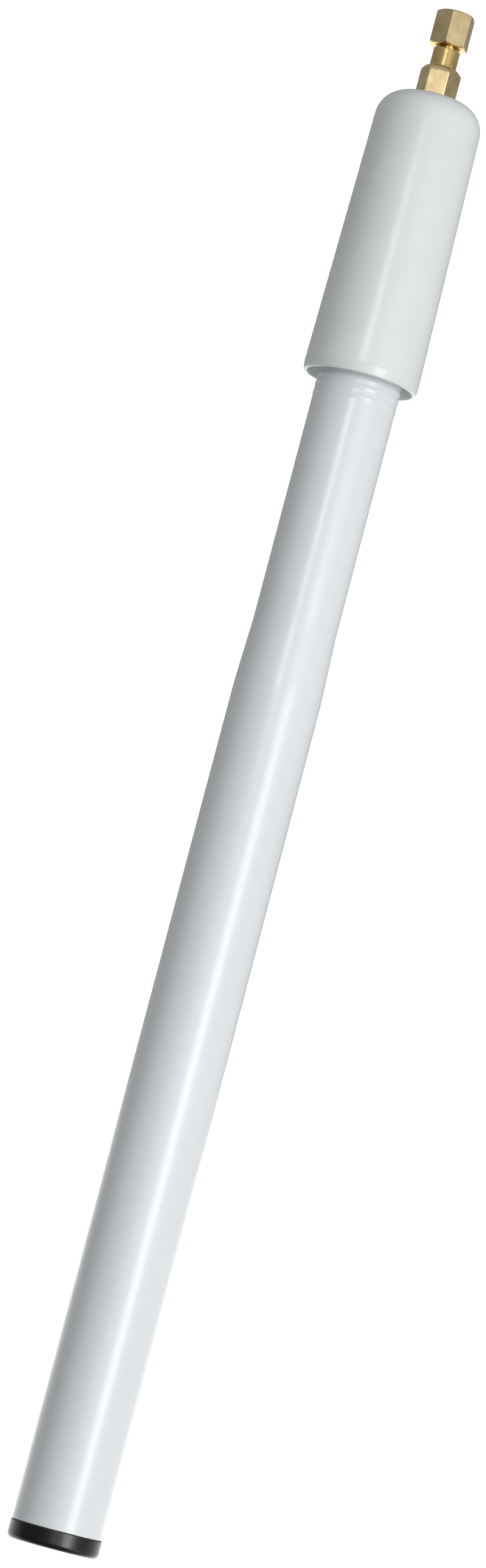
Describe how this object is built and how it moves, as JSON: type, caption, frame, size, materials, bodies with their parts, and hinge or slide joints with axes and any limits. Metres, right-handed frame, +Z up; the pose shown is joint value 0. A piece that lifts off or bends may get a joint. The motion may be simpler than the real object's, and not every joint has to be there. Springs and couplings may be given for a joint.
{
  "type": "omnidirectional antenna",
  "caption": "Slim omnidirectional antenna: white tubular radome with a black end cap, a flared white base collar and a gold screw-on coaxial plug with a free-turning hexagonal nut.",
  "frame": {"origin": "centre of the coupling nut's mouth, where the mating jack enters", "axes": "+Z up the antenna's axis, from the plug to the end cap; X and Y across it"},
  "size_m": [0.0261, 0.026, 0.3501],
  "materials": {
    "gold_plate": "smooth gold plating on machined brass",
    "brass_plain": "drawn brass, lightly tarnished",
    "spring_bronze": "stamped spring bronze",
    "copper": "bare drawn copper wire",
    "tinned_braid": "woven tinned copper",
    "nickel_plate": "satin nickel plating",
    "ptfe": "waxy white PTFE",
    "silicone_seal": "soft moulded silicone",
    "nitrile_seal": "satin nitrile rubber",
    "radome_white": "glossy white moulded tube",
    "collar_white": "satin white moulding",
    "cap_black": "glossy black moulding",
    "jacket_brown": "smooth brown FEP",
    "heat_shrink": "satin black shrink tube",
    "natural_nylon": "natural nylon",
    "foam": "closed-cell polyethylene foam"
  },
  "bodies": {
    "antenna": {"connector_body": "gold_plate", "centre_contact": "gold_plate", "lock_nut": "gold_plate", "lock_washer": "spring_bronze", "connector_gasket": "silicone_seal", "base_o_ring": "nitrile_seal", "radome_o_ring": "nitrile_seal", "end_cap_o_ring": "nitrile_seal", "connector_dielectric": "ptfe", "coax_dielectric": "ptfe", "feed_insulator": "ptfe", "base_collar": "collar_white", "radome_tube": "radome_white", "end_cap": "cap_black", "crimp_ferrule": "nickel_plate", "heat_shrink_sleeve": "heat_shrink", "coax_jacket": "jacket_brown", "coax_braid": "tinned_braid", "coax_core": "copper", "phasing_coil": "copper", "sleeve_radiator": "brass_plain", "sleeve_end_disc": "brass_plain", "lower_whip": "brass_plain", "upper_whip": "brass_plain", "coil_terminal_lower": "brass_plain", "coil_terminal_upper": "brass_plain", "sleeve_spacer_bush": "natural_nylon", "coil_former": "natural_nylon", "tip_bush": "natural_nylon", "foam_spacer_1": "foam", "foam_spacer_2": "foam", "foam_spacer_3": "foam", "foam_spacer_4": "foam"},
    "snap_ring": {"nut_retaining_ring": "spring_bronze"},
    "hex_nut": {"coupling_nut": "gold_plate"}
  },
  "joints": [
    {"name": "nut_axial_play", "type": "slide", "parent": "antenna", "child": "snap_ring", "axis": [0, 0, 1], "range_m": [0, 0.0004]},
    {"name": "coupling_nut_spin", "type": "hinge", "parent": "snap_ring", "child": "hex_nut", "pos_m": [0, 0, 0.00625], "axis": [0, 0, 1], "continuous": true}
  ]
}
